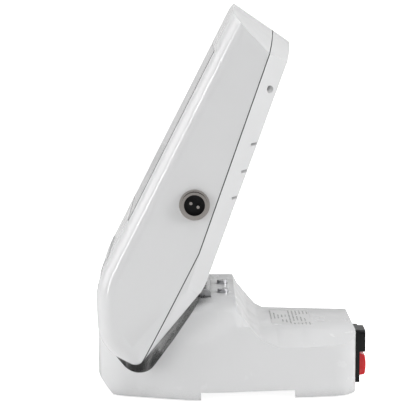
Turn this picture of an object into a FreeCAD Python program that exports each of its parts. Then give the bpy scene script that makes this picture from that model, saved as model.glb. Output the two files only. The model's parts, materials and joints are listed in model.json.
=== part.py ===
import FreeCAD, Part
import math
import os
import Sketcher

# A tabletop treatment console: a thick screen head that leans back on a low base.
# The head is drawn upright in its own frame: X across, Y from the hinge pin towards the back,
# Z up along the screen, with the hinge pin through the origin. It is then leaned back as a whole.
# The base is drawn where it stands: Z up from the floor, -Y towards the user.
# Both are drawn about their middle plane, and then moved over so that the overall box is centred.

doc = FreeCAD.newDocument("TreatmentConsole")
sheet = doc.addObject("Spreadsheet::Sheet", "Sizes")

# Driving dimensions, in millimetres and degrees.
SIZES = {
    # hinge and stance
    "hinge_back": -22.0,         # Y of the hinge pin
    "hinge_height": 80.0,        # Z of the hinge pin
    "lean": 26.9,                # how far the head leans back at rest
    # head outside
    "head_width": 208.0,
    "head_depth": 85.5,          # front face to hinge pin
    "head_top": 221.5,           # crown of the top edge
    "head_bottom": 70.5,         # underside of the chin below the pin
    "top_rise": 8.5,             # the top edge is arched by this much at the front
    "top_rise_back": 20.5,       # and by this much at the back
    "top_fall": 7.2,             # the crown falls this much from front to back
    "top_depth": 54.0,
    "back_at_top": 33.5,         # back face ahead of the pin, at the top
    "back_at_knee": 7.0,         # and just above the pin
    "knee_height": 10.0,
    "knee_radius": 30.0,
    "heel_corner_depth": 25.0,
    "chin_height": 26.0,         # where the front face turns under
    "chin_depth": 60.0,
    "chin_upper_radius": 60.0,
    "chin_lower_radius": 34.0,
    "heel_radius": 8.0,
    "flank_radius": 16.0,        # round between the flanks and the front, chin and back
    "head_wall": 2.6,
    # line between the front housing and the rear cover
    "seam_low": 24.5,
    "seam_high": 46.5,
    "seam_bend": 35.0,
    "seam_top": 200.0,
    "seam_reveal": 0.8,
    "lip_thick": 1.4,
    "lip_reach": 4.0,
    "lap_gap": 0.3,
    "flank_taper": 17.0,         # the rear cover narrows by this much each side
    "flank_taper_depth": 15.0,
    # screen
    "glass_width": 184.0,
    "glass_height": 149.5,
    "glass_middle": 106.6,
    "glass_thick": 2.0,
    "glass_sink": 0.3,
    "glass_gap": 0.5,
    "tape_thick": 0.4,
    "ledge": 7.0,
    "ledge_thick": 2.4,
    "panel_margin": 4.0,
    "panel_thick": 6.0,
    "bracket_thick": 1.2,
    "bracket_rim": 12.0,
    # handpiece socket in the right flank
    "socket_depth": 44.8,
    "socket_height": 68.0,
    "socket_flange_radius": 12.0,
    "socket_flange_thick": 2.0,
    "socket_barrel_radius": 10.2,
    "socket_barrel_reach": 5.0,
    "socket_bore_radius": 8.2,
    "socket_pin_radius": 1.25,
    "socket_pin_pitch": 6.3,
    "socket_tail": 14.0,
    # start key below the screen
    "key_width": 120.0,
    "key_top": 6.0,
    "key_height": 27.0,
    "key_proud": 0.9,
    "key_gap": 0.5,
    "key_travel": 1.2,
    # hinge
    "hinge_length": 90.0,
    "knuckle_radius": 4.2,
    "hinge_pin_radius": 2.2,
    "running_gap": 0.05,
    "knuckle_gap": 0.4,
    "leaf_thick": 2.0,
    "base_leaf_reach": 22.0,
    "head_leaf_start": 12.2,
    "head_leaf_reach": 36.0,
    "head_web_lean": 33.6,       # the webs of the head leaf slope up from the pin
    "head_web_length": 20.4,
    "head_web_side": 16.5,
    "leaf_screw_spread": 22.0,
    "leaf_screw_reach": 14.5,
    "head_leaf_screw": 15.7,
    "leaf_screw_head": 4.6,
    "leaf_screw_rise": 3.2,
    "leaf_screw_shank": 2.0,
    # base
    "base_front": -110.6,
    "base_rear": 100.5,
    "base_half_width": 92.0,
    "base_rear_half": 72.0,
    "base_front_half": 66.0,
    "base_rear_corner": 24.0,
    "base_front_corner": 36.0,
    "base_wall": 2.8,
    "base_clear": 1.5,           # skirt above the floor
    "chin_cut": 17.0,
    "hump_top": 77.8,
    "hump_half": 72.0,
    "hump_rear": 2.0,
    "deck_top": 53.0,
    "deck_fall": 2.0,
    "deck_half": 47.0,
    "deck_start": 22.0,
    "shoulder_top": 41.0,
    "shoulder_half": 82.0,
    "hump_shoulder": 72.0,
    "hump_shoulder_half": 79.0,
    "crease_front": 13.4,        # height of the side crease at the front
    "crease_climb": 0.37,
    "saddle_floor_y": -75.0,
    "saddle_floor_z": 11.9,
    "saddle_front_y": -106.0,
    "saddle_front_z": 46.0,
    "saddle_rear_y": -26.0,
    "saddle_rear_z": 81.2,
    "saddle_radius": 16.0,
    "notch_length": 76.0,
    "notch_middle": 12.0,
    "notch_height": 6.0,
    "bottom_height": 8.0,
    "bottom_thick": 2.4,
    "foot_radius": 7.0,
    "foot_thick": 3.2,
    # power inlet with a rocker switch
    "inlet_side": 25.0,
    "inlet_low": 4.9,
    "inlet_width": 31.0,
    "inlet_height": 44.1,
    "inlet_flange": 4.6,
    "shroud_width": 27.4,
    "shroud_height": 17.8,
    "shroud_reach": 9.4,
    "shroud_wall": 1.5,
    "inlet_depth": 24.0,
    "blade_width": 4.0,
    "blade_thick": 2.0,
    "rocker_width": 13.2,
    "rocker_radius": 11.0,       # pivot to the middle of the button's face
    "rocker_set": 0.4,           # its pivot is this far inside the rear face
    "rocker_middle": 18.4,       # Z of its pivot
    "rocker_gap": 0.4,
    "rocker_pivot_radius": 1.5,
    # label
    "label_length": 33.0,
    "label_width": 60.0,
    "label_thick": 0.25,
    # boards and fasteners
    "board_thick": 1.6,
    "boss_radius": 4.0,
    "screw_radius": 1.5,
    "screw_head_radius": 2.8,
    "screw_head_thick": 2.0,
}
for row, (alias, value) in enumerate(SIZES.items(), start=1):
    sheet.set("A%d" % row, alias)
    sheet.set("B%d" % row, str(value))
    sheet.setAlias("B%d" % row, alias)
doc.recompute()


class Size:
    """A number that also knows its formula in the sheet's cells."""

    def __init__(self, value, formula):
        self.value = float(value)
        self.formula = formula

    def __add__(self, other):
        other = sized(other)
        return Size(self.value + other.value, "(%s + %s)" % (self.formula, other.formula))

    def __sub__(self, other):
        other = sized(other)
        return Size(self.value - other.value, "(%s - %s)" % (self.formula, other.formula))

    def __mul__(self, other):
        other = sized(other)
        return Size(self.value * other.value, "(%s * %s)" % (self.formula, other.formula))

    def __truediv__(self, other):
        other = sized(other)
        return Size(self.value / other.value, "(%s / %s)" % (self.formula, other.formula))

    def __neg__(self):
        return Size(-self.value, "(-1 * %s)" % self.formula)

    def __radd__(self, other):
        return sized(other) + self

    def __rsub__(self, other):
        return sized(other) - self

    def __rmul__(self, other):
        return sized(other) * self

    def __rtruediv__(self, other):
        return sized(other) / self


def sized(number):
    return number if isinstance(number, Size) else Size(number, repr(float(number)))


class Cells:
    """s.head_width is the sheet's head_width, and so on."""

    def __getattr__(self, alias):
        return Size(sheet.get(alias), "Sizes." + alias)


s = Cells()
V = FreeCAD.Vector
count = 0


def unique(word):
    global count
    count += 1
    return "%s_%d" % (word, count)


def bind(thing, prop, amount):
    amount = sized(amount)
    if prop.startswith("Placement.Base."):
        setattr(thing.Placement.Base, prop[-1], amount.value)
    elif not prop.startswith("Placement"):
        setattr(thing, prop, amount.value)
    thing.setExpression(prop, amount.formula)


def move(thing, corner, turn=None):
    """Puts a thing at a corner, turned about an axis by an angle if one is given."""
    rotation = FreeCAD.Rotation()
    if turn:
        axis, angle = turn
        rotation = FreeCAD.Rotation(V(*axis), sized(angle).value)
    base = V(*[sized(c).value for c in corner])
    thing.Placement = FreeCAD.Placement(base, rotation)
    for letter, amount in zip("xyz", corner):
        thing.setExpression("Placement.Base." + letter, sized(amount).formula)
    if turn and isinstance(turn[1], Size):
        thing.setExpression("Placement.Rotation.Angle", turn[1].formula)
    return thing


def box(low, high, turn=None):
    """A box between two corners; a turned box turns about its low corner."""
    thing = doc.addObject("Part::Box", unique("box"))
    for prop, a, b in zip(("Length", "Width", "Height"), low, high):
        bind(thing, prop, sized(b) - sized(a))
    return move(thing, low, turn)


TOWARDS = {"x": ((0, 1, 0), 90), "y": ((1, 0, 0), -90), "z": None}


def rod(radius, length, start, along="z"):
    thing = doc.addObject("Part::Cylinder", unique("rod"))
    bind(thing, "Radius", radius)
    bind(thing, "Height", length)
    return move(thing, start, TOWARDS[along])


def fuse(*things):
    if len(things) == 1:
        return things[0]
    thing = doc.addObject("Part::MultiFuse", unique("fuse"))
    thing.Shapes = list(things)
    thing.Refine = True
    return thing


def group(*things):
    thing = doc.addObject("Part::Compound", unique("group"))
    thing.Links = list(things)
    return thing


def cut(base, *tools):
    thing = doc.addObject("Part::Cut", unique("cut"))
    thing.Base = base
    thing.Tool = tools[0] if len(tools) == 1 else group(*tools)
    return thing


def common(first, second):
    thing = doc.addObject("Part::Common", unique("common"))
    thing.Base = first
    thing.Tool = second
    return thing


def mirrored(thing):
    """A copy of the thing on the other side of the middle plane."""
    twin = doc.addObject("Part::Mirroring", unique("twin"))
    twin.Source = thing
    twin.Normal = V(1, 0, 0)
    return twin


def fillet(base, radius, pick):
    """Rounds the edges that pick(edge) chooses."""
    doc.recompute()
    chosen = [n for n, edge in enumerate(base.Shape.Edges, start=1) if pick(edge)]
    thing = doc.addObject("Part::Fillet", unique("fillet"))
    thing.Base = base
    thing.Edges = [(n, sized(radius).value, sized(radius).value) for n in chosen]
    return thing


def middle(edge):
    return edge.valueAt((edge.FirstParameter + edge.LastParameter) / 2)


def along_axis(edge, axis):
    """True for a straight edge that runs along X, Y or Z."""
    span = edge.Vertexes[-1].Point - edge.Vertexes[0].Point
    return span.Length > 0.01 and abs(getattr(span, axis)) > 0.999 * span.Length


def draw(sketch, corners):
    """Draws a closed outline whose corners are held by the sheet.

    A corner is (a, b), or (a, b, arc middle a, arc middle b, arc radius) where an arc leads to the next.
    """
    starts = []
    total = len(corners)
    for n, corner in enumerate(corners):
        here = V(sized(corner[0]).value, sized(corner[1]).value, 0)
        after = corners[(n + 1) % total]
        there = V(sized(after[0]).value, sized(after[1]).value, 0)
        if len(corner) == 2:
            sketch.addGeometry(Part.LineSegment(here, there))
            starts.append(1)
        else:
            through = V(sized(corner[2]).value, sized(corner[3]).value, 0)
            sketch.addGeometry(Part.ArcOfCircle(here, through, there))
            starts.append(1 if sketch.getPoint(n, 1).distanceToPoint(here) < 1e-6 else 2)
    for n in range(total):
        after = (n + 1) % total
        sketch.addConstraint(Sketcher.Constraint("Coincident", n, 3 - starts[n], after, starts[after]))
    for n, corner in enumerate(corners):
        ends = (-1, 1, n, starts[n])
        held = [("DistanceX", ends, corner[0]), ("DistanceY", ends, corner[1])]
        if len(corner) > 2:
            held.append(("Radius", (n,), corner[4]))
        for kind, ends, amount in held:
            amount = sized(amount)
            number = sketch.addConstraint(Sketcher.Constraint(kind, *ends, amount.value))
            sketch.setExpression("Constraints[%d]" % number, amount.formula)


ACROSS = {"YZ_Plane": ("x", "y", "z"), "XZ_Plane": ("y", "x", "z"), "XY_Plane": ("z", "x", "y")}


def prism(plane, corners, length, rounds=()):
    """A body padded both ways from an origin plane; rounds are (corner number, radius)."""
    body = doc.addObject("PartDesign::Body", unique("body"))
    sketch = body.newObject("Sketcher::SketchObject", unique("sketch"))
    origin_plane = [f for f in body.Origin.OriginFeatures if f.Role == plane][0]
    sketch.AttachmentSupport = [(origin_plane, "")]
    sketch.MapMode = "FlatFace"
    draw(sketch, corners)
    last = body.newObject("PartDesign::Pad", unique("pad"))
    last.Profile = sketch
    last.SideType = "Symmetric"
    bind(last, "Length", length)
    doc.recompute()
    normal, first, second = ACROSS[plane]
    for number, radius in rounds:
        a = sized(corners[number][0]).value
        b = sized(corners[number][1]).value
        names = []
        for k, edge in enumerate(last.Shape.Edges, start=1):
            point = middle(edge)
            off = abs(getattr(point, first) - a) + abs(getattr(point, second) - b)
            if off < 0.01 and along_axis(edge, normal):
                names.append("Edge%d" % k)
        rounded = body.newObject("PartDesign::Fillet", unique("round"))
        rounded.Base = (last, names)
        bind(rounded, "Radius", radius)
        doc.recompute()
        last = rounded
    return body


def mirrored_corners(half):
    """Corners of an outline that is the same on both sides, from its right half, top to bottom or back."""
    return list(half) + [(-sized(a), b) for a, b in reversed(half)]


NODES = []


def node(label, thing, frame="base"):
    """Names a finished sub-part and stands it in its frame."""
    part = doc.addObject("Part::Compound", label)
    part.Label = label
    part.Links = [thing]
    middle_x = -s.socket_barrel_reach / 2
    if frame == "head":
        move(part, (middle_x, s.hinge_back, s.hinge_height), ((-1, 0, 0), s.lean))
    else:
        move(part, (middle_x, 0, 0))
    NODES.append(part)
    return part


def section(back, corners):
    """An outline across the base at a distance back."""
    sketch = doc.addObject("Sketcher::SketchObject", unique("section"))
    draw(sketch, corners)
    return move(sketch, (0, back, 0), ((1, 0, 0), 90))


def arctangent(amount):
    return Size(math.degrees(math.atan(amount.value)), "atan(%s)" % amount.formula)


def bulge_radius(half, rise):
    """Radius of an arc that rises this much over this half chord."""
    return half * half / (2 * rise) + rise / 2


# The head

BACK_SLOPE = (s.back_at_top - s.back_at_knee) / (s.head_top + 10 - s.knee_height)
SEAM_SLOPE = (s.seam_high - s.seam_low) / (s.seam_top - s.seam_bend)


def back_at(height):
    """Y of the back face at a height above the pin."""
    return -(s.back_at_knee + (height - s.knee_height) * BACK_SLOPE)


def seam_at(height):
    if sized(height).value < s.seam_bend.value:
        return -s.seam_low
    return -(s.seam_low + (height - s.seam_bend) * SEAM_SLOPE)


def head_side(inset):
    """Side outline of the head, padded across."""
    i = sized(inset)
    above = s.head_top + 10
    corners = [
        (-s.head_depth + i, above),
        (-s.head_depth + i, -s.chin_height + i * 0.265),
        (-s.chin_depth + i * 0.579, -s.head_bottom + i),
        (-s.heel_corner_depth - i * 0.8, -s.head_bottom + i),
        (-s.back_at_knee - i, s.knee_height),
        (-s.back_at_top - i, above),
    ]
    rounds = [
        (1, s.chin_upper_radius - i),
        (2, s.chin_lower_radius - i),
        (3, s.heel_radius - i * 0.8),
        (4, s.knee_radius - i),
    ]
    return prism("YZ_Plane", corners, s.head_width - i * 2, rounds)


def top_section(inset, share):
    """Front outline of the head at a share of its depth: 0 is the front face and 1 the back of the top."""
    i = sized(inset)
    half = s.head_width / 2 + 20
    rise = s.top_rise + (s.top_rise_back - s.top_rise) * share
    rise = rise * (half * half) / (s.head_width * s.head_width / 4)
    crown = s.head_top - s.top_fall * share - i
    corners = [
        (half, crown - rise),
        (half, -s.head_bottom - 60),
        (-half, -s.head_bottom - 60),
        (-half, crown - rise, 0, crown, bulge_radius(half, rise)),
    ]
    return section(-s.head_depth + s.top_depth * share, corners)


def head_top(inset):
    """Everything below the arched top, which rises more and sits lower towards the back."""
    body = doc.addObject("Part::Loft", unique("below_top"))
    body.Sections = [top_section(inset, -0.4), top_section(inset, 1.9)]
    body.Solid = True
    body.Ruled = True
    return body


def on_flank(half):
    """Edges round both flanks of the head."""
    def pick(edge):
        points = [edge.valueAt(edge.FirstParameter), edge.valueAt(edge.LastParameter), middle(edge)]
        upright = max(p.z for p in points) - min(p.z for p in points) > 0.01 or points[2].z < 0
        return upright and all(abs(abs(p.x) - half) < 0.01 for p in points)
    return pick


def head_block(inset, rim=True):
    """The whole outside of the head, moved in by the inset."""
    i = sized(inset)
    block = head_side(inset)
    if rim:
        block = fillet(block, s.flank_radius - i, on_flank(s.head_width.value / 2 - i.value))
    return common(block, head_top(inset))


def flank_taper(inset):
    """What the narrowing of the rear cover takes off the right flank."""
    i = sized(inset)
    reach = 24
    ratio = s.flank_taper / s.flank_taper_depth
    wedge = doc.addObject("Part::Wedge", unique("taper"))
    start = s.head_width / 2 - i * 1.51
    for prop, amount in (
        ("Xmin", 0), ("Xmax", 8), ("X2min", -ratio * reach), ("X2max", 8),
        ("Ymin", 0), ("Ymax", reach), ("Zmin", 0), ("Zmax", 360), ("Z2min", 0), ("Z2max", 360),
    ):
        bind(wedge, prop, amount)
    foot = s.seam_bend - 110
    place = (start, -(s.seam_low - 110 * SEAM_SLOPE) + s.seam_reveal, foot)
    return move(wedge, place, ((1, 0, 0), arctangent(SEAM_SLOPE)))


def head_form(inset, rim=True):
    """The head with its rear flanks narrowed."""
    wedge = flank_taper(inset)
    return cut(head_block(inset, rim), wedge, mirrored(wedge))


def behind_seam(shift):
    """Everything further back than the joint line, moved back by the shift."""
    shift = sized(shift)
    corners = [
        (-s.seam_low + shift, -200),
        (-s.seam_low + shift, s.seam_bend),
        (seam_at(s.head_top + 40) + shift, s.head_top + 40),
        (120, s.head_top + 40),
        (120, -200),
    ]
    return prism("YZ_Plane", corners, s.head_width * 1.5)


# Shells of the head

head_outer = head_form(0)
head_inner = head_form(s.head_wall)
head_shell = cut(head_outer, head_inner)

inner_face = -s.head_depth + s.head_wall
glass_front = -s.head_depth + s.glass_sink
glass_back = glass_front + s.glass_thick
ledge_front = glass_back + s.tape_thick
ledge_back = ledge_front + s.ledge_thick
half_glass = s.glass_width / 2
glass_low = s.glass_middle - s.glass_height / 2
glass_high = s.glass_middle + s.glass_height / 2
window_half = half_glass - s.ledge
window_low = glass_low + s.ledge
window_high = glass_high - s.ledge


def slab(half, low, high, front, back):
    """A plate that faces the user, the same on both sides."""
    return box((-half, front, low), (half, back, high))


def post(x, z, radius, front, back):
    """A post that runs from front to back in the head."""
    return rod(radius, sized(back) - sized(front), (x, front, z), "y")


def pair(x, z, radius, front, back):
    return [post(x, z, radius, front, back), post(-x, z, radius, front, back)]


def key_outline(grow):
    """The half-moon outline of the start key, through the front of the housing."""
    g = sized(grow)
    half = s.key_width / 2 + g * 1.3
    top = -s.key_top + g
    low = -s.key_top - s.key_height - g
    corners = [(half, top), (-half, top, 0, low, bulge_radius(half, s.key_height + g * 2))]
    return move(prism("XZ_Plane", corners, 40), (0, -s.head_depth, 0))


# Screws that join the two housings: (across, up, back end of the boss)
cover_x = s.head_width / 2 - 11
cover_screws = [
    (cover_x, Size(174.6, "174.6"), seam_at(174.6) - 1),
    (Size(80, "80"), Size(-40, "-40"), -s.seam_low - 3.5),
]
bracket_half = window_half + 4
bracket_low = window_low - 13
bracket_high = window_high + 13
bracket_spots = [(Size(60, "60"), bracket_low + 4.5), (Size(60, "60"), bracket_high - 4.5)]
bracket_front = ledge_back + s.panel_thick
key_board_front = inner_face + 8.4

# Front housing
bosses = []
for x, z, end in cover_screws:
    bosses += [common(b, head_outer) for b in pair(x, z, s.boss_radius, -s.head_depth + 1, end)]
for x, z in bracket_spots:
    bosses += pair(x, z, s.boss_radius, ledge_front, bracket_front)
for x in (66, -66):
    bosses.append(common(post(x, -14, 3, -s.head_depth + 0.5, key_board_front), head_outer))
frame_block = slab(half_glass + 4, glass_low - 8, glass_high + 8, -s.head_depth + 0.5, ledge_back)
ledge = common(frame_block, head_outer)
front_body = fuse(cut(head_shell, behind_seam(0)), ledge, *bosses)
front_cuts = [
    slab(half_glass + s.glass_gap, glass_low - s.glass_gap, glass_high + s.glass_gap, -100, ledge_front),
    slab(window_half, window_low, window_high, -100, -60),
    key_outline(s.key_gap),
    rod(s.socket_barrel_radius - 0.6, 20, (s.head_width / 2 - 12, -s.socket_depth, s.socket_height), "x"),
]
for x, z, end in cover_screws:
    front_cuts += pair(x, z, s.screw_radius + 0.05, end - 12, end + 1)
for x, z in bracket_spots:
    front_cuts += pair(x, z, s.screw_radius + 0.05, bracket_front - 6, bracket_front + 1)
for x in (66, -66):
    front_cuts.append(post(x, -14, 1.05, key_board_front - 5, key_board_front + 1))
node("front_housing", cut(front_body, *front_cuts), "head")

# Rear cover, with a lip that laps inside the front housing
lap_outer = head_form(s.head_wall + s.lap_gap)
lap_inner = head_form(s.head_wall + s.lap_gap + s.lip_thick)
root_outer = head_form(s.head_wall - 0.3)
lip = common(cut(lap_outer, lap_inner), cut(behind_seam(-s.lip_reach), behind_seam(3)))
root = common(cut(root_outer, lap_inner), cut(behind_seam(s.seam_reveal + 0.6), behind_seam(3.6)))
wells = []
well_cuts = []
for x, z, end in cover_screws:
    for half in pair(x, z, s.boss_radius + 1, end + 0.1, 0):
        wells.append(common(half, head_outer))
    well_cuts += pair(x, z, s.screw_head_radius + 0.2, end + 2.1, 10)
    well_cuts += pair(x, z, s.screw_radius + 0.2, end - 1, 10)
board_front = Size(-52, "-52")
board_spots = [(x, z) for x in (Size(-66, "-66"), s.hinge_length / 2 + 9) for z in (-24, 36)]
posts = []
for x, z in board_spots:
    posts.append(common(post(x, z, 3.6, board_front + s.board_thick, 0), head_outer))
    well_cuts.append(post(x, z, 1.55, board_front, board_front + 12))
leaf_origin = (0, back_at(0), 0)
BACK_TILT = arctangent(BACK_SLOPE)


def on_back(*things):
    """Stands things drawn from the pin's height upright on the sloping back face."""
    return move(group(*things), leaf_origin, ((1, 0, 0), BACK_TILT))


leaf_spots = (-s.leaf_screw_spread, s.leaf_screw_spread)
leaf_holes = [post(x, s.head_leaf_screw, s.leaf_screw_shank + 0.2, -12, 4) for x in leaf_spots]
half_hinge = s.hinge_length / 2
knuckle = s.hinge_length / 5


def knuckle_span(n, grow):
    """Both ends of a knuckle along the pin."""
    start = -half_hinge + knuckle * n + s.knuckle_gap / 2 - grow
    return start, start + knuckle - s.knuckle_gap + grow * 2


def head_web(half_thick, grow):
    """The right web, which slopes up and forward from the pin through the back wall."""
    left, right = knuckle_span(3, grow)
    low = (left, -half_thick, 0)
    plate = box(low, (s.head_web_side + grow, half_thick, s.head_web_length + grow))
    return move(group(plate), (0, 0, 0), ((1, 0, 0), s.head_web_lean))


slot_tool = head_web(1.7, 0.2)
web_slots = [slot_tool, mirrored(slot_tool)]
vents = []
for z in (128.0, 105.5, 83.5):
    slot = box((-(s.head_width / 2 - 12), -60, z), (-(s.head_width / 2 - 62), 10, z + 2.2))
    slot.Placement.Rotation = FreeCAD.Rotation(V(0, -1, 0), 30)
    vents += [slot, mirrored(slot)]
rear_shell = common(head_shell, behind_seam(s.seam_reveal))
rear_body = fuse(rear_shell, lip, root, *wells, *posts)
socket_clear = rod(s.socket_flange_radius + 1.4, 70, (40, -s.socket_depth, s.socket_height), "x")
node("rear_cover", cut(rear_body, *well_cuts, *vents, on_back(*leaf_holes), *web_slots, socket_clear), "head")

cover_screw_parts = []
for x, z, end in cover_screws:
    cover_screw_parts += pair(x, z, s.screw_radius, end - 10, end + 2.1)
    cover_screw_parts += pair(x, z, s.screw_head_radius, end + 2.1, end + 2.1 + s.screw_head_thick)
node("rear_cover_screws", fuse(*cover_screw_parts), "head")

# Screen
node("display_glass", slab(half_glass, glass_low, glass_high, glass_front, glass_back), "head")


def ring(half, low, high, band, front, back):
    return cut(
        slab(half, low, high, front, back),
        slab(half - band, low + band, high - band, sized(front) - 1, sized(back) + 1),
    )


node("glass_tape", ring(half_glass, glass_low, glass_high, s.ledge - 1, glass_back, ledge_front), "head")
panel_box = (window_half + s.panel_margin - 1, window_low - 3, window_high + 3)
node("lcd_panel", slab(*panel_box, ledge_back, bracket_front), "head")
bracket = ring(bracket_half, bracket_low, bracket_high, s.bracket_rim + 9, bracket_front,
               bracket_front + s.bracket_thick)
bracket_back = bracket_front + s.bracket_thick
cross = slab(bracket_half - 5, s.glass_middle - 42, s.glass_middle - 28, bracket_front, bracket_back)
cross_high = slab(bracket_half - 5, s.glass_middle + 28, s.glass_middle + 42, bracket_front, bracket_back)
bracket_holes = []
bracket_screws = []
for x, z in bracket_spots:
    bracket_holes += pair(x, z, s.screw_radius + 0.2, bracket_front - 1, bracket_back + 1)
    bracket_screws += pair(x, z, s.screw_radius, bracket_front - 5, bracket_back)
    bracket_screws += pair(x, z, s.screw_head_radius, bracket_back, bracket_back + s.screw_head_thick)
spacer_spots = [(x, z) for x in (-55, 55) for z in (s.glass_middle - 35, s.glass_middle + 35)]
node("lcd_bracket", cut(fuse(bracket, cross, cross_high), *bracket_holes), "head")
node("lcd_bracket_screws", fuse(*bracket_screws), "head")

# Main board behind the screen
main_front = bracket_back + 8
main_back = main_front + s.board_thick
spacers = [post(x, z, 2.8, bracket_back, main_front) for x, z in spacer_spots]
node("board_spacers", group(*spacers), "head")
node("main_board", slab(62, s.glass_middle - 42, s.glass_middle + 42, main_front, main_back), "head")


def chip(x, z, wide, tall, thick, front):
    return box((x, front, z), (x + wide, front + thick, z + tall))


chips = [
    chip(-18, s.glass_middle - 12, 24, 24, 2.4, main_back),
    chip(18, s.glass_middle - 8, 14, 18, 1.8, main_back),
    chip(-44, s.glass_middle + 6, 12, 20, 1.8, main_back),
    chip(-50, s.glass_middle - 30, 30, 8, 7, main_back),
    chip(12, s.glass_middle - 32, 34, 8, 7, main_back),
    post(-40, s.glass_middle - 8, 5, main_back, main_back + 11),
    post(46, s.glass_middle + 20, 5, main_back, main_back + 11),
]
node("main_board_chips", group(*chips), "head")

# Output stage, on posts of the rear cover
board_back = board_front + s.board_thick
node("generator_board", slab(72, -30, 42, board_front, board_back), "head")
screw_tips = [post(x, z, 1.5, board_front, board_front + 10) for x, z in board_spots]
screw_tops = [post(x, z, 2.8, board_front - 2, board_front) for x, z in board_spots]
holes = [post(x, z, 1.6, board_front - 1, board_back + 1) for x, z in board_spots]
doc.recompute()
NODES[-1].Links = [cut(NODES[-1].Links[0], *holes)]
node("generator_board_screws", fuse(*(screw_tips + screw_tops)), "head")
core = box((-40, board_front - 16, -14), (0, board_front, 22))
winding = box((-33, board_front - 20, -8), (-7, board_front - 16, 16))
node("output_transformer", fuse(core, winding), "head")
fins = [box((12 + 5 * n, board_front - 16, -20), (14 + 5 * n, board_front - 3, 20)) for n in range(5)]
node("output_heatsink", fuse(box((12, board_front - 3, -20), (34, board_front, 20)), *fins), "head")

# Start key with its switch
form_out = head_form(-s.key_proud, rim=False)
form_in = head_form(s.head_wall, rim=False)


def pushed(thing, back):
    return move(group(thing), (0, back, 0))


key_face = common(key_outline(0), cut(form_out, pushed(form_in, 1.6)))
key_rim = common(key_outline(1.8), cut(pushed(form_in, 0.6), pushed(form_in, 1.8)))
key_stem = slab(4, -22, -14, inner_face + 1, key_board_front - 4.2 - s.key_travel - 0.1)
node("start_key", fuse(key_face, key_rim, key_stem), "head")
key_board = slab(71, -25, -9, key_board_front, key_board_front + s.board_thick)
key_board_holes = [post(x, -14, 1.2, key_board_front - 1, key_board_front + 3) for x in (66, -66)]
node("key_board", cut(key_board, *key_board_holes), "head")
key_screw_list = []
for x in (66, -66):
    key_screw_list.append(post(x, -14, 1, key_board_front - 4.5, key_board_front + s.board_thick))
    key_screw_list.append(post(x, -14, 2, key_board_front + s.board_thick, key_board_front + 3.2))
node("key_board_screws", fuse(*key_screw_list), "head")
switch_body = slab(3, -21, -15, key_board_front - 3, key_board_front)
node("key_switch", fuse(switch_body, post(0, -18, 1.6, key_board_front - 4.2, key_board_front - 3)), "head")

# Handpiece socket in the right flank: a threaded shell, an insert and two pins
face = s.head_width / 2
socket_at = (-s.socket_depth, s.socket_height)


def across(radius, start, stop):
    return rod(radius, sized(stop) - sized(start), (start,) + socket_at, "x")


flange = across(s.socket_flange_radius, face, face + s.socket_flange_thick)
barrel = across(s.socket_barrel_radius, face, face + s.socket_barrel_reach)
tail = across(s.socket_barrel_radius - 1, face - s.socket_tail, face)
insert_front = face - 2
shell_cuts = [
    across(s.socket_bore_radius, insert_front - 8, face + 20),
    across(s.socket_bore_radius - 1, face - 40, face + 20),
]
node("socket_shell", cut(fuse(flange, barrel, tail), *shell_cuts), "head")
pin_spots = (-s.socket_pin_pitch / 2, s.socket_pin_pitch / 2)
insert = across(s.socket_bore_radius, insert_front - 8, insert_front)
pin_rods = []
pin_holes = []
for off in pin_spots:
    at = (-s.socket_depth + off, s.socket_height)
    pin_rods.append(rod(s.socket_pin_radius, 20, (insert_front - 14,) + at, "x"))
    pin_holes.append(rod(s.socket_pin_radius, 30, (insert_front - 20,) + at, "x"))
node("socket_insert", cut(insert, *pin_holes), "head")
node("socket_pins", group(*pin_rods), "head")
nut = doc.addObject("Part::Prism", unique("nut"))
nut.Polygon = 6
bind(nut, "Circumradius", 13)
bind(nut, "Height", 3)
move(nut, (face - s.head_wall - 4,) + socket_at, ((0, 1, 0), 90))
node("socket_nut", cut(nut, across(s.socket_barrel_radius - 1, face - 20, face)), "head")
washer = cut(
    across(12, face - s.head_wall - 1, face - s.head_wall),
    across(s.socket_barrel_radius - 1, face - 20, face),
)
node("socket_washer", washer, "head")

# Hinge: five knuckles on one pin. Each leaf lies inside its wall and reaches out to its knuckles with webs.

def knuckles(which, radius):
    found = []
    for n in which:
        left, right = knuckle_span(n, 0)
        found.append(rod(radius, right - left, (left, 0, 0), "x"))
    return found


pin_bore = rod(s.hinge_pin_radius + s.running_gap, s.hinge_length + 20, (-half_hinge - 10, 0, 0), "x")
head_plate = box(
    (-half_hinge, -s.head_wall - s.leaf_thick - 0.15, s.head_leaf_start),
    (half_hinge, -s.head_wall - 0.15, s.head_leaf_reach),
)
plate_holes = [post(x, s.head_leaf_screw, s.leaf_screw_shank + 0.03, -8, 4) for x in leaf_spots]
web = head_web(1.4, 0)
head_knuckles = knuckles((1, 3), s.knuckle_radius)
head_leaf = fuse(on_back(cut(head_plate, *plate_holes)), web, mirrored(web), *head_knuckles)
node("hinge_head_leaf", cut(head_leaf, pin_bore), "head")
head_leaf_screws = []
for x in leaf_spots:
    head_leaf_screws.append(post(x, s.head_leaf_screw, s.leaf_screw_shank, -11, 0))
    head_leaf_screws.append(post(x, s.head_leaf_screw, s.leaf_screw_head, 0, s.leaf_screw_rise))
node("hinge_head_screws", on_back(fuse(*head_leaf_screws)), "head")

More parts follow.
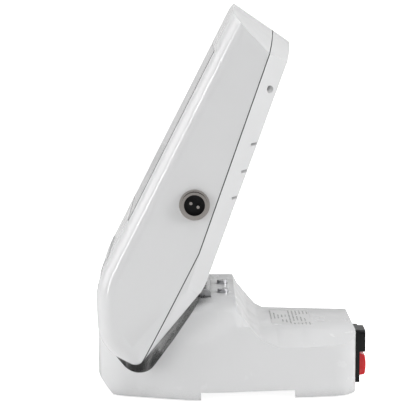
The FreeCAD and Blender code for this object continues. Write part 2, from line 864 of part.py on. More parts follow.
leaf_top = s.hump_top - s.base_wall - s.hinge_height
hump_face = s.hump_top - s.hinge_height
base_plate = box((-half_hinge, -1.6, leaf_top - s.leaf_thick), (half_hinge, s.base_leaf_reach, leaf_top))
base_plate_holes = [
    rod(s.leaf_screw_shank + 0.03, 6, (x, s.leaf_screw_reach, leaf_top - 4)) for x in leaf_spots
]
base_webs = []
for n in (0, 2, 4):
    left, right = knuckle_span(n, 0)
    base_webs.append(box((left, -1.6, leaf_top - 1), (right, 1.6, -2.5)))
base_leaf = fuse(cut(base_plate, *base_plate_holes), *base_webs, *knuckles((0, 2, 4), s.knuckle_radius))
pin_place = (0, s.hinge_back, s.hinge_height)
node("hinge_base_leaf", move(group(cut(base_leaf, pin_bore)), pin_place))
base_leaf_screws = []
for x in leaf_spots:
    base_leaf_screws.append(rod(s.leaf_screw_shank, 10, (x, s.leaf_screw_reach, hump_face - 10)))
    base_leaf_screws.append(rod(s.leaf_screw_head, s.leaf_screw_rise, (x, s.leaf_screw_reach, hump_face)))
node("hinge_base_screws", move(group(fuse(*base_leaf_screws)), pin_place))
pin = fuse(
    rod(s.hinge_pin_radius, s.hinge_length, (-half_hinge, 0, 0), "x"),
    rod(3.4, 1, (half_hinge, 0, 0), "x"),
    rod(3.4, 1, (-half_hinge - 1, 0, 0), "x"),
)
node("hinge_pin", move(group(pin), pin_place))


# The base

def base_plan(inset):
    i = sized(inset)
    half = [
        (s.base_rear_half - i, s.base_rear - i),
        (s.base_half_width - i, s.hinge_back - 5),
        (s.base_front_half - i, s.base_front + i),
    ]
    rounds = [
        (0, s.base_rear_corner - i), (5, s.base_rear_corner - i),
        (1, 90 - i), (4, 90 - i),
        (2, s.base_front_corner - i), (3, s.base_front_corner - i),
    ]
    return prism("XY_Plane", mirrored_corners(half), 300, rounds)


def base_side(inset):
    i = sized(inset)
    low = s.base_clear if i.value < 0.5 else Size(-20, "-20")
    corners = [
        (s.base_front + i, 100),
        (s.base_front + i, s.chin_cut - 2 if i.value < 0.5 else s.chin_cut - 2 + i * 0.4),
        (s.base_front + s.chin_cut + (i - 4 if i.value < 0.5 else i * 2), low),
        (s.base_rear - i, low),
        (s.base_rear - i, 100),
    ]
    rounds = [(1, 12 - i)] if i.value < 0.5 else []
    return prism("YZ_Plane", corners, 260, rounds)


# How far the top and the shoulder have come down from the hump to the deck, from front to back
STATIONS = (
    (s.base_front - 8, 0, 0),
    (Size(-60, "-60"), 0, 0),
    (s.hump_rear - 14, 0, 0),
    (s.hump_rear, 0, 0.02),
    (s.hump_rear + 5, 0.33, 0.12),
    (s.hump_rear + 11, 0.74, 0.36),
    (s.deck_start, 1, 0.7),
    (s.deck_start + 14, 1, 0.93),
    (s.deck_start + 36, 1, 1),
    (s.base_rear + 4, 1, 1),
)


def base_over(inset):
    """The top of the base: hump, shoulders and deck, as a skin through the stations."""
    i = sized(inset)
    sections = []
    for back, top_share, shoulder_share in STATIONS:
        steep = i * 0.9 if 0 < top_share < 1 else sized(0)
        fall = s.deck_fall * (back - s.deck_start) / 80 if top_share == 1 else sized(0)
        top_x = s.hump_half + (s.deck_half - s.hump_half) * top_share - i * 0.4
        top_z = s.hump_top + (s.deck_top - s.hump_top) * top_share - fall - i
        side_x = s.hump_shoulder_half + (s.shoulder_half - s.hump_shoulder_half) * shoulder_share - i * 0.8
        side_z = s.hump_shoulder + (s.shoulder_top - s.hump_shoulder) * shoulder_share - i
        crease = s.crease_front + s.crease_climb * (back - s.base_front) - i * 0.3
        if crease.value > side_z.value - 1.5:
            crease = side_z - 1.5
        wall = s.base_half_width - 2 - i
        edge_z = side_z - (side_z - crease) * (100 - side_x) / (wall - side_x)
        half = [(100, -140), (100, edge_z), (side_x, side_z), (top_x, top_z)]
        sections.append(section(back - steep, mirrored_corners(half)))
    skin = doc.addObject("Part::Loft", unique("skin"))
    skin.Sections = sections
    skin.Solid = True
    skin.Ruled = True
    return skin


def base_block(inset):
    return common(common(base_plan(inset), base_side(inset)), base_over(inset))


def saddle(grow):
    """The hollow that the chin of the head turns in, open at both sides."""
    g = sized(grow)
    front_run = (s.saddle_front_y - s.saddle_floor_y) / (s.saddle_front_z - s.saddle_floor_z)
    rear_run = (s.saddle_rear_y - s.saddle_floor_y) / (s.saddle_rear_z - s.saddle_floor_z)
    floor = (s.saddle_floor_y + g * 0.098, s.saddle_floor_z - g * 1.594)
    rise = Size(140, "140") - floor[1]
    corners = [floor, (floor[0] + rear_run * rise, 140), (floor[0] + front_run * rise, 140)]
    return prism("YZ_Plane", corners, 400, [(0, s.saddle_radius + g)])


base_outer = cut(base_block(0), saddle(0))
base_inner = cut(base_block(s.base_wall), saddle(s.base_wall))
plate_top = s.bottom_height + s.bottom_thick
bottom_spots = [
    (Size(56, "56"), Size(-84, "-84")), (Size(68, "68"), Size(2, "2")), (Size(52, "52"), Size(76, "76")),
]


def upright(x, y, radius, low, high):
    return rod(radius, sized(high) - sized(low), (x, y, low))


def uprights(x, y, radius, low, high):
    return [upright(x, y, radius, low, high), upright(-x, y, radius, low, high)]


inlet_left = s.inlet_side - s.inlet_width / 2
inlet_right = s.inlet_side + s.inlet_width / 2
inlet_high = s.inlet_low + s.inlet_height
bosses = []
boss_holes = []
for x, y in bottom_spots:
    bosses += [common(b, base_outer) for b in uprights(x, y, s.boss_radius, plate_top, 90)]
    boss_holes += uprights(x, y, s.screw_radius + 0.05, plate_top - 1, plate_top + 9)
barrel_start = (-half_hinge - 2, s.hinge_back, s.hinge_height)
barrel_groove = rod(s.knuckle_radius + 0.6, s.hinge_length + 4, barrel_start, "x")
web_opening = box(
    (-half_hinge - 0.3, s.hinge_back - 2, s.hump_top - s.base_wall - s.leaf_thick - 1),
    (half_hinge + 0.3, s.hinge_back + 2, s.hinge_height),
)
seat_holes = [
    rod(s.leaf_screw_shank + 0.2, 12, (x, s.hinge_back + s.leaf_screw_reach, s.hump_top - 8))
    for x in leaf_spots
]
notch = box(
    (-130, s.notch_middle - s.notch_length / 2, -5),
    (130, s.notch_middle + s.notch_length / 2, s.base_clear + s.notch_height),
)
inlet_hole = box((inlet_left + 1.5, 60, s.inlet_low + 1.2), (inlet_right - 1.5, 130, inlet_high - 1.2))
base_cuts = [*boss_holes, barrel_groove, web_opening, *seat_holes, notch, inlet_hole]
node("base_shell", cut(fuse(cut(base_outer, base_inner), *bosses), *base_cuts))

# Bottom plate on the screw bosses, with rubber feet
plate = common(
    cut(base_block(s.base_wall + 0.3), saddle(s.base_wall + 0.5)),
    box((-130, -130, s.bottom_height), (130, 130, plate_top)),
)
foot_spots = [(Size(60, "60"), Size(-62, "-62")), (Size(56, "56"), Size(62, "62"))]
foot_posts = []
feet = []
for x, y in foot_spots:
    foot_posts += uprights(x, y, s.foot_radius + 1.5, s.foot_thick - 1, s.bottom_height + 1)
    feet += uprights(x, y, s.foot_radius, 0, s.foot_thick)
plate_cuts = [box((inlet_left - 1, s.base_rear - 27.5, -5), (inlet_right + 1, s.base_rear + 30, 60))]
for x, y in bottom_spots:
    plate_cuts += uprights(x, y, s.screw_radius + 0.2, -5, 30)
for x, y in foot_spots:
    plate_cuts += uprights(x, y, s.foot_radius + 0.1, -5, s.foot_thick)
for n in range(6):
    plate_cuts.append(box((-25, -30 + 8 * n, 0), (25, -27 + 8 * n, 20)))
standoff_spots = [(x, y) for x in (-55, 5) for y in (-4, 64)]
standoffs = [upright(x, y, 3.4, s.bottom_height + 1, plate_top + 6) for x, y in standoff_spots]
plate_cuts += [upright(x, y, 1.55, plate_top - 1, plate_top + 8) for x, y in standoff_spots]
node("bottom_plate", cut(fuse(plate, *foot_posts, *standoffs), *plate_cuts))
node("rubber_feet", group(*feet))
bottom_screw_parts = []
for x, y in bottom_spots:
    bottom_screw_parts += uprights(x, y, s.screw_radius, s.bottom_height, plate_top + 8)
    bottom_screw_parts += uprights(x, y, s.screw_head_radius, s.bottom_height - 2, s.bottom_height)
node("bottom_screws", fuse(*bottom_screw_parts))

# Rating label on the deck, blank but for what is printed on it
label_block = cut(base_over(-s.label_thick), base_over(0))
label_area = box((-s.label_width / 2, 33, 30), (s.label_width / 2, 33 + s.label_length, 70))
node("rating_label", common(label_block, label_area))

# Power inlet with its rocker switch
rear = s.base_rear
inlet_face = rear + s.inlet_flange
flange = box((inlet_left, rear, s.inlet_low), (inlet_right, inlet_face, inlet_high))
flange = fillet(flange, 2, lambda e: along_axis(e, "y"))
shroud_left = s.inlet_side - s.shroud_width / 2
shroud_right = s.inlet_side + s.shroud_width / 2
shroud_high = inlet_high - 0.7
shroud_low = shroud_high - s.shroud_height
shroud = box((shroud_left, rear, shroud_low), (shroud_right, rear + s.shroud_reach, shroud_high))
shroud = fillet(shroud, 3, lambda e: along_axis(e, "y") and middle(e).z > shroud_high.value - 1)
body = box(
    (inlet_left + 2, rear - s.inlet_depth, s.inlet_low + 1.5),
    (inlet_right - 2, rear + 1, inlet_high - 1.5),
)
cavity = box(
    (shroud_left + s.shroud_wall, rear - 9, shroud_low + s.shroud_wall),
    (shroud_right - s.shroud_wall, rear + 20, shroud_high - s.shroud_wall),
)
rocker_half = s.rocker_width / 2
rocker_back = rear - s.rocker_set
pivot = (rocker_back, s.rocker_middle)
well_radius = s.rocker_radius + s.rocker_gap
well = rod(well_radius, s.rocker_width + 0.8, (s.inlet_side - rocker_half - 0.4,) + pivot, "x")
pivot_start = (s.inlet_side - rocker_half - 2,) + pivot
pivot_hole = rod(s.rocker_pivot_radius + 0.05, s.rocker_width + 4, pivot_start, "x")
blade_spots = [(-7, -1.5), (0, 2.5), (7, -1.5)]
blade_z = (shroud_low + shroud_high) / 2
blades = []
slots = []
for dx, dz in blade_spots:
    low = (s.inlet_side + dx - s.blade_thick / 2, rear - s.inlet_depth - 6, blade_z + dz - s.blade_width / 2)
    high = (s.inlet_side + dx + s.blade_thick / 2, rear + 6, blade_z + dz + s.blade_width / 2)
    blades.append(box(low, high))
    slots.append(box(low, high))
tabs = []
tab_slots = []
for dz in (-7.0, 0.0, 7.0):
    low = (s.inlet_side - 2.4, rear - s.inlet_depth - 8, s.rocker_middle + dz - 0.4)
    high = (s.inlet_side + 2.4, rear - s.inlet_depth + 5, s.rocker_middle + dz + 0.4)
    tabs.append(box(low, high))
    tab_slots.append(box(low, high))
inlet = cut(fuse(flange, shroud, body), cavity, well, pivot_hole, *slots, *tab_slots)
node("inlet_housing", inlet)
node("inlet_blades", group(*blades))
node("switch_tabs", group(*tabs))

rocker_wide = s.inlet_side - rocker_half
rocker_corners = [(-4.4, -7.0), (-4.4, 7.0), (5.0, 9.2), (9.4, 8.4), (10.2, 7.4), (10.9, 2.4)]
rocker_corners += [(10.9, -2.4), (10.2, -7.4), (9.4, -8.4), (5.0, -9.2)]
shape = prism("YZ_Plane", [(rocker_back + a, s.rocker_middle + b) for a, b in rocker_corners], s.rocker_width)
shape = move(shape, (s.inlet_side, 0, 0))
trunnion = rod(s.rocker_pivot_radius, s.rocker_width + 3, (rocker_wide - 1.5,) + pivot, "x")
node("rocker_button", fuse(shape, trunnion))

# Power board on the bottom plate
power_low = plate_top + 6
power_top = power_low + s.board_thick
power_holes = [upright(x, y, 1.7, power_low - 1, power_top + 1) for x, y in standoff_spots]
node("power_board", cut(box((-60, -10, power_low), (10, 70, power_top)), *power_holes))
power_screws = []
for x, y in standoff_spots:
    power_screws.append(upright(x, y, 1.5, power_low - 5, power_top))
    power_screws.append(upright(x, y, 2.8, power_top, power_top + 2))
node("power_board_screws", fuse(*power_screws))
core = box((-48, 18, power_top), (-14, 54, power_top + 20))
winding = box((-42, 22, power_top + 20), (-20, 50, power_top + 23))
node("power_transformer", fuse(core, winding))
cans = [upright(x, y, 5, power_top, power_top + 20) for x, y in ((-4, 34), (-4, 48), (-54, 8))]
node("power_capacitors", group(*cans))
fins = [box((-44 + 6 * n, -6, power_top + 4), (-42 + 6 * n, 8, power_top + 24)) for n in range(6)]
node("power_heatsink", fuse(box((-44, -6, power_top), (-12, 8, power_top + 4)), *fins))

# Checks, then one file for each sub-part
doc.recompute()
problems = []
for thing in doc.Objects:
    if "Invalid" in thing.State or "Error" in thing.State:
        problems.append("%s %s" % (thing.Name, thing.State))
for part in NODES:
    if part.Shape.isNull() or not part.Shape.isValid() or not part.Shape.Solids:
        problems.append("%s has no good shape" % part.Label)
if problems:
    raise RuntimeError("; ".join(problems))
os.makedirs("parts", exist_ok=True)
for part in NODES:
    part.Shape.exportStep("parts/%s.step" % part.Label)
    bounds = part.Shape.BoundBox
    print("%-24s %2d solids %9.0f mm3" % (part.Label, len(part.Shape.Solids), part.Shape.Volume),
          "x %.1f %.1f y %.1f %.1f z %.1f %.1f" % (
              bounds.XMin, bounds.XMax, bounds.YMin, bounds.YMax, bounds.ZMin, bounds.ZMax))
print(len(NODES), "sub-parts")
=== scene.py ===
# %% [markdown]
# This file dresses a tabletop treatment console. The CAD model gives every piece its true place and size,
# so the first step is to load it and to measure it. Everything that follows rides on those pieces.

# %% Load the frame
import json
import math
import bmesh
import bpy
from mathutils import Matrix, Vector

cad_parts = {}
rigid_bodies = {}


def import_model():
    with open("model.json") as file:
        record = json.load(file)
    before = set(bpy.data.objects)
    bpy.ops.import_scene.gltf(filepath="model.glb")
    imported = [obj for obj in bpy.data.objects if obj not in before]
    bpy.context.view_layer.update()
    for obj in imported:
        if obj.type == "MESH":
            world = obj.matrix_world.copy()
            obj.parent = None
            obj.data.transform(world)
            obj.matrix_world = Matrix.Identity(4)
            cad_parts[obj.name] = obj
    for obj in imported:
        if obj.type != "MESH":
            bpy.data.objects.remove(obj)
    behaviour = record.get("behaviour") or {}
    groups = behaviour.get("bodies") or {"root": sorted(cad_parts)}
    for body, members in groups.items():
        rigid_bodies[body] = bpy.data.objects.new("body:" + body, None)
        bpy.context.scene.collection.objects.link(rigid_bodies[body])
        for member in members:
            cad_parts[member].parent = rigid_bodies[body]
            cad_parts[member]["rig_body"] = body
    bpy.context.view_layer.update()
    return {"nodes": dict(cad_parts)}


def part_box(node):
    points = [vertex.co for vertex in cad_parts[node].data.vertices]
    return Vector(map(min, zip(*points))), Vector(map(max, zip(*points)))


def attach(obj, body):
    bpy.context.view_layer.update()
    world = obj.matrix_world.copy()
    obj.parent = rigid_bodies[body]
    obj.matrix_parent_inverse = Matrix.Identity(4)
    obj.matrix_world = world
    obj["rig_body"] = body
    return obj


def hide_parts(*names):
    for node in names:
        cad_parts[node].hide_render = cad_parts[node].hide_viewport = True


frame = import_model()
nodes = frame["nodes"]
print("pieces:", len(nodes))

# %% [markdown]
# Materials are built from small trees of nodes, and these helpers make the steps that most of them share. The
# patterns read Object coordinates, so a pattern stays where it is when the piece moves.

# %% Helpers for node trees
def add_node(tree, kind, **settings):
    """A new node. A setting goes to the input of that name, or else to the node itself."""
    made = tree.nodes.new(kind)
    for key, value in settings.items():
        if key in made.inputs:
            made.inputs[key].default_value = value
        else:
            setattr(made, key, value)
    return made


def number_socket(group, name, way, default=0.0):
    """A socket for a number on a node group."""
    socket = group.interface.new_socket(name=name, in_out=way, socket_type="NodeSocketFloat")
    socket.default_value = default


def map_range(tree, value, low, high, to_low=0.0, to_high=1.0):
    """Turns a value between low and high into one between to_low and to_high."""
    made = add_node(tree, "ShaderNodeMapRange")
    for name, number in (("From Min", low), ("From Max", high), ("To Min", to_low), ("To Max", to_high)):
        made.inputs[name].default_value = number
    tree.links.new(value, made.inputs["Value"])
    return made.outputs["Result"]


def mix_colours(tree, factor, first, second):
    """The first colour where the factor is 0, and the second where it is 1. Either may be another node's."""
    made = add_node(tree, "ShaderNodeMix", data_type="RGBA")
    tree.links.new(factor, made.inputs[0])
    for socket, colour in ((made.inputs[6], first), (made.inputs[7], second)):
        if isinstance(colour, tuple):
            socket.default_value = colour
        else:
            tree.links.new(colour, socket)
    return made.outputs[2]


def object_place(tree):
    """The place of a point in Object coordinates."""
    return tree.nodes.new("ShaderNodeTexCoord").outputs["Object"]


def noise(tree, place, **settings):
    """A noise between 0 and 1 at a place."""
    made = add_node(tree, "ShaderNodeTexNoise", **settings)
    tree.links.new(place, made.inputs["Vector"])
    return made.outputs["Fac"]


def bump(tree, height, **settings):
    """A bump node that reads a height."""
    made = add_node(tree, "ShaderNodeBump", **settings)
    tree.links.new(height, made.inputs["Height"])
    return made


def new_material(name):
    """An empty material, with its tree, the function that joins two sockets, and its main shader."""
    material = bpy.data.materials.new(name)
    material.use_nodes = True
    tree = material.node_tree
    return material, tree, tree.links.new, tree.nodes["Principled BSDF"]


print("helpers ready")

# %% [markdown]
# Moulded plastic is never perfectly flat. A very low, wide wave bends the reflections a little, a fine grain
# breaks them up, and handling leaves patches that are a touch duller. This group makes all three.

# %% The moulded surface group
def make_moulded_surface():
    group = bpy.data.node_groups.new("moulded_surface", "ShaderNodeTree")
    inside = group.nodes.new("NodeGroupInput")
    outside = group.nodes.new("NodeGroupOutput")
    number_socket(group, "Grain", "INPUT", 0.02)
    number_socket(group, "Roughness", "INPUT", 0.2)
    number_socket(group, "Roughness", "OUTPUT")
    group.interface.new_socket(name="Normal", in_out="OUTPUT", socket_type="NodeSocketVector")
    number_socket(group, "Patches", "OUTPUT")
    link = group.links.new
    place = object_place(group)
    wave = noise(group, place, Scale=14.0, Detail=1.0)
    grain = noise(group, place, Scale=2600.0, Detail=2.0)
    patches = noise(group, place, Scale=32.0, Detail=5.0, Roughness=0.6)
    wave_bump = bump(group, wave, Strength=0.035, Distance=0.0006)
    grain_bump = bump(group, grain, Distance=0.00004)
    link(inside.outputs["Grain"], grain_bump.inputs["Strength"])
    link(wave_bump.outputs["Normal"], grain_bump.inputs["Normal"])
    times = add_node(group, "ShaderNodeMath", operation="MULTIPLY")
    link(map_range(group, patches, 0.35, 0.70, 0.85, 1.35), times.inputs[0])
    link(inside.outputs["Roughness"], times.inputs[1])
    link(times.outputs[0], outside.inputs["Roughness"])
    link(grain_bump.outputs["Normal"], outside.inputs["Normal"])
    link(patches, outside.inputs["Patches"])
    return group


moulded_surface = make_moulded_surface()
group_sockets = moulded_surface.interface.items_tree
print("group outputs:", [item.name for item in group_sockets if item.in_out == "OUTPUT"])


def moulded(tree, grain, roughness):
    """The moulded surface group, placed in a material's tree."""
    surface = tree.nodes.new("ShaderNodeGroup")
    surface.node_tree = moulded_surface
    surface.inputs["Grain"].default_value = grain
    surface.inputs["Roughness"].default_value = roughness
    return surface.outputs


# %% [markdown]
# Shade is painted into corners. An ambient occlusion node measures how open the air around a point is. At
# dark or below, the plastic has its painted shade, and from open_air up it has its full colour.

# %% Plastic materials
CORNER_SAMPLES = 12


def plastic(name, colour, roughness, grain=0.25, coat=0.0, shade=0.86, specular=0.5, reach=0.006,
            dark=0.25, open_air=0.75):
    material, tree, link, shader = new_material(name)
    surface = moulded(tree, grain, roughness)
    # Painted shade: the base colour darkens toward its shaded copy where the occlusion node finds little open
    # air.
    corner = add_node(tree, "ShaderNodeAmbientOcclusion", Distance=reach)
    corner.samples = CORNER_SAMPLES
    openness = map_range(tree, corner.outputs["AO"], dark, open_air)
    painted_shade_colour = (*[part * shade for part in colour], 1)
    link(mix_colours(tree, openness, painted_shade_colour, (*colour, 1)), shader.inputs["Base Color"])
    link(surface["Roughness"], shader.inputs["Roughness"])
    link(surface["Normal"], shader.inputs["Normal"])
    shader.inputs["Specular IOR Level"].default_value = specular
    shader.inputs["Coat Weight"].default_value = coat
    shader.inputs["Coat Roughness"].default_value = 0.04
    return material


WHITE = (0.80, 0.803, 0.808)
# The shells get a strong painted shade that reaches 3 cm and goes nearly black, so it darkens the gap between
# the head and the base.
white_gloss = plastic("white_gloss", WHITE, 0.16, 0.12, coat=0.35, shade=0.10, reach=0.03,
                      dark=0.22, open_air=0.52)
base_gloss = plastic("base_gloss", WHITE, 0.22, 0.12, coat=0.05, shade=0.03, specular=0.3,
                     reach=0.03, dark=0.30, open_air=0.56)
white_satin = plastic("white_satin", (0.78, 0.785, 0.79), 0.42, 0.5, shade=0.75)
black_gloss = plastic("black_gloss", (0.006, 0.006, 0.0065), 0.30, 0.4, shade=0.6, specular=0.25)
black_matte = plastic("black_matte", (0.018, 0.018, 0.019), 0.55, 0.8, shade=0.6)
rubber = plastic("foot_rubber", (0.022, 0.022, 0.022), 0.75, 1.0, shade=0.5)
tape = plastic("foam_tape", (0.02, 0.02, 0.02), 0.8, 1.0, shade=0.8)
panel_grey = plastic("panel_grey", (0.09, 0.09, 0.10), 0.4, 0.3)
plastics = (white_gloss, base_gloss, white_satin, black_gloss, black_matte, rubber, tape, panel_grey)
print("plastics:", [material.name for material in plastics])

# %% [markdown]
# Metal needs no colour variation to look real, but a brushed or extruded face has fine parallel lines. A
# noise that is stretched along one axis gives them, and bends the reflections. Spots vary the roughness.

# %% Metal materials
PLAIN = (1, 1, 1)
LINES_ALONG_X = (1, 30, 30)
STEEL = (0.58, 0.58, 0.60)


def metal(name, colour, roughness, lines, stretch):
    material, tree, link, shader = new_material(name)
    place = object_place(tree)
    scale = add_node(tree, "ShaderNodeMapping")
    scale.inputs["Scale"].default_value = stretch
    link(place, scale.inputs["Vector"])
    brushed = noise(tree, scale.outputs["Vector"], Scale=220.0, Detail=4.0)
    spots = noise(tree, place, Scale=160.0, Detail=3.0)
    roughened = map_range(tree, spots, 0.0, 1.0, roughness * 0.7, roughness * 1.5)
    link(roughened, shader.inputs["Roughness"])
    brush_bump = bump(tree, brushed, Strength=lines, Distance=0.00004)
    link(brush_bump.outputs["Normal"], shader.inputs["Normal"])
    shader.inputs["Base Color"].default_value = (*colour, 1)
    shader.inputs["Metallic"].default_value = 1.0
    return material


chrome = metal("socket_chrome", (0.40, 0.375, 0.355), 0.12, 0.05, PLAIN)
screw_steel = metal("screw_steel", STEEL, 0.22, 0.15, PLAIN)
hinge_steel = metal("hinge_steel", (0.62, 0.62, 0.63), 0.26, 0.4, LINES_ALONG_X)
sheet_steel = metal("sheet_steel", (0.55, 0.56, 0.57), 0.3, 0.35, LINES_ALONG_X)
contact_brass = metal("contact_brass", (0.80, 0.66, 0.36), 0.2, 0.1, PLAIN)
extruded = metal("extruded_aluminium", (0.62, 0.62, 0.64), 0.35, 0.4, (40, 1, 40))
core_steel = metal("core_laminations", (0.26, 0.23, 0.21), 0.5, 0.8, (1, 30, 1))
metals = (chrome, screw_steel, hinge_steel, sheet_steel, contact_brass, extruded, core_steel)
print("metals:", [material.name for material in metals])

# %% [markdown]
# The screen is dark glass over a display that is off: a nearly black body under a very smooth, clear face.
# Fingers leave faint smears, which vary the roughness of the dark body under the clear face.

# %% Screen glass
def screen_material():
    material, tree, link, shader = new_material("screen_glass")
    smears = noise(tree, object_place(tree), Scale=26.0, Detail=6.0, Distortion=1.2)
    link(map_range(tree, smears, 0.45, 0.75, 0.02, 0.14), shader.inputs["Roughness"])
    shader.inputs["Base Color"].default_value = (0.012, 0.013, 0.016, 1)
    shader.inputs["Specular IOR Level"].default_value = 0.6
    shader.inputs["Coat Weight"].default_value = 1.0
    shader.inputs["Coat Roughness"].default_value = 0.01
    return material


screen_glass = screen_material()
print("screen glass made")

# %% [markdown]
# The switch button is a clear red plastic with a lamp behind it. Light goes a little way in and comes out
# again, so the shader uses subsurface scattering, and a faint even glow stands for the lamp.

# %% Red switch plastic
def red_material():
    material, tree, link, shader = new_material("switch_red")
    surface = moulded(tree, 0.1, 0.14)
    tint = mix_colours(tree, surface["Patches"], (0.62, 0.006, 0.012, 1), (0.80, 0.02, 0.03, 1))
    link(tint, shader.inputs["Base Color"])
    link(surface["Roughness"], shader.inputs["Roughness"])
    shader.inputs["Subsurface Weight"].default_value = 0.35
    shader.inputs["Subsurface Scale"].default_value = 0.003
    shader.inputs["Subsurface Radius"].default_value = (1.0, 0.15, 0.1)
    shader.inputs["Emission Color"].default_value = (0.9, 0.01, 0.02, 1)
    shader.inputs["Emission Strength"].default_value = 0.12
    return material


switch_red = red_material()
print("red plastic made")

# %% [markdown]
# A circuit board is green lacquer over copper. The copper tracks lie a hair higher, so they show as a lighter
# green pattern of straight runs. The joints of a brick texture give such runs, with green between them.

# %% Circuit board
def bricks(tree, scale, mortar_size, colours):
    """A brick texture in Object coordinates. The colours are of two sorts of brick and of the mortar."""
    made = add_node(tree, "ShaderNodeTexBrick", Scale=scale)
    made.inputs["Mortar Size"].default_value = mortar_size
    for name, colour in zip(("Color1", "Color2", "Mortar"), colours):
        made.inputs[name].default_value = colour
    tree.links.new(object_place(tree), made.inputs["Vector"])
    return made


def board_material():
    material, tree, link, shader = new_material("circuit_board")
    colours = ((0.012, 0.10, 0.045, 1), (0.016, 0.13, 0.055, 1), (0.03, 0.20, 0.09, 1))
    runs = bricks(tree, 90.0, 0.06, colours)
    link(runs.outputs["Color"], shader.inputs["Base Color"])
    track_bump = bump(tree, runs.outputs["Fac"], Strength=0.4, Distance=0.0001)
    link(track_bump.outputs["Normal"], shader.inputs["Normal"])
    shader.inputs["Roughness"].default_value = 0.35
    return material


circuit_board = board_material()
print("circuit board made")

# %% [markdown]
# The two pan heads on the base have a cross recess. They stand at the two ends of their node's box, so the
# box gives their places. The distance to the nearer one comes from the size of X, measured from the middle.
# Two thin bars make the cross, which is painted dark as the shade inside the recess.

# %% Cross recess
HALF_ARM = 0.0026
HALF_SLOT = 0.0006
screws_low, screws_high = (Vector(corner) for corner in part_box("hinge_base_screws"))
screws_middle = (screws_low + screws_high) / 2
screws_reach = (screws_high - screws_low) / 2
screw_from_middle = screws_reach.x - screws_reach.y


def cross_mask(tree):
    """1 inside the cross of either pan head, and 0 elsewhere."""
    def maths(kind, first, second=None):
        made = add_node(tree, "ShaderNodeMath", operation=kind)
        for socket, value in zip(made.inputs, (first, second)):
            if isinstance(value, float):
                socket.default_value = value
            elif value is not None:
                tree.links.new(value, socket)
        return made.outputs[0]

    split = add_node(tree, "ShaderNodeSeparateXYZ")
    tree.links.new(object_place(tree), split.inputs["Vector"])
    side = maths("ABSOLUTE", maths("SUBTRACT", split.outputs["X"], screws_middle.x))
    across = maths("ABSOLUTE", maths("SUBTRACT", side, screw_from_middle))
    along = maths("ABSOLUTE", maths("SUBTRACT", split.outputs["Y"], screws_middle.y))
    bar = maths("MULTIPLY", maths("LESS_THAN", across, HALF_SLOT), maths("LESS_THAN", along, HALF_ARM))
    cross_bar = maths("MULTIPLY", maths("LESS_THAN", along, HALF_SLOT), maths("LESS_THAN", across, HALF_ARM))
    return maths("MAXIMUM", bar, cross_bar)


pan_head_steel = metal("pan_head_steel", STEEL, 0.14, 0.15, PLAIN)
head_tree = pan_head_steel.node_tree
# Painted shade: the cross is coloured nearly black for the shade inside the recess, on top of the steel
# colour.
head_colour_with_painted_shade = mix_colours(head_tree, cross_mask(head_tree), (*STEEL, 1), (0.03, 0.03, 0.03, 1))
head_tree.links.new(head_colour_with_painted_shade, head_tree.nodes["Principled BSDF"].inputs["Base Color"])
print("the pan heads stand", round(screw_from_middle, 4), "from the middle")

# %% [markdown]
# The rating label is white film with small grey print. A brick texture gives short broken lines, which read
# as print from a distance but spell nothing. A second, slower texture leaves some stretches blank.

# %% Rating label
FILM_WHITE = (0.80, 0.80, 0.80, 1)


def label_material():
    material, tree, link, shader = new_material("rating_label")
    words = bricks(tree, 95.0, 0.10, ((0.22, 0.22, 0.22, 1), (0.38, 0.38, 0.38, 1), FILM_WHITE))
    words.inputs["Brick Width"].default_value = 0.62
    words.inputs["Row Height"].default_value = 0.30
    blank = add_node(tree, "ShaderNodeMath", operation="GREATER_THAN")
    blank.inputs[1].default_value = 0.50
    link(noise(tree, object_place(tree), Scale=70.0, Detail=0.0), blank.inputs[0])
    film = mix_colours(tree, blank.outputs[0], words.outputs["Color"], FILM_WHITE)
    link(film, shader.inputs["Base Color"])
    shader.inputs["Roughness"].default_value = 0.45
    return material


label_film = label_material()
print("label made")

# %% [markdown]
# Each piece of the CAD model has one finish.

# %% Finishes of the pieces
FINISHES = {
    "rear_cover_screws": screw_steel, "display_glass": screen_glass, "glass_tape": tape,
    "lcd_panel": panel_grey, "lcd_bracket": sheet_steel, "lcd_bracket_screws": screw_steel,
    "board_spacers": contact_brass, "main_board": circuit_board, "main_board_chips": black_matte,
    "generator_board": circuit_board, "generator_board_screws": screw_steel,
    "output_transformer": core_steel, "output_heatsink": extruded, "start_key": white_satin,
    "key_board": circuit_board, "key_board_screws": screw_steel, "key_switch": black_matte,
    "socket_shell": chrome, "socket_insert": black_gloss, "socket_pins": chrome,
    "socket_nut": screw_steel, "socket_washer": screw_steel, "hinge_head_leaf": hinge_steel,
    "hinge_head_screws": screw_steel, "hinge_base_leaf": hinge_steel, "hinge_base_screws": pan_head_steel,
    "hinge_pin": hinge_steel, "bottom_plate": white_satin, "rubber_feet": rubber,
    "bottom_screws": screw_steel, "inlet_housing": black_gloss, "inlet_blades": contact_brass,
    "switch_tabs": contact_brass, "rocker_button": switch_red, "power_board": circuit_board,
    "power_board_screws": screw_steel, "power_transformer": core_steel, "power_capacitors": black_gloss,
    "power_heatsink": extruded, "rating_label": label_film,
    "front_housing": white_gloss, "rear_cover": white_gloss, "base_shell": base_gloss,
}
print("pieces with a finish:", len(FINISHES), "of", len(nodes))

# %% [markdown]
# A CAD mesh is loose triangles, which shade as flat facets. A copy of each piece is merged into one skin, and
# its shallow edges are made smooth, so the light flows over the curves. Only the edges that really are edges,
# steeper than the limit, stay crisp. The base's side has a crease that stays soft, so its limit is higher.

# %% Merged, smooth skins
MERGE_DISTANCE = 0.00002
SMOOTH_LIMIT = math.radians(30.0)
BASE_SMOOTH_LIMIT = math.radians(44.0)


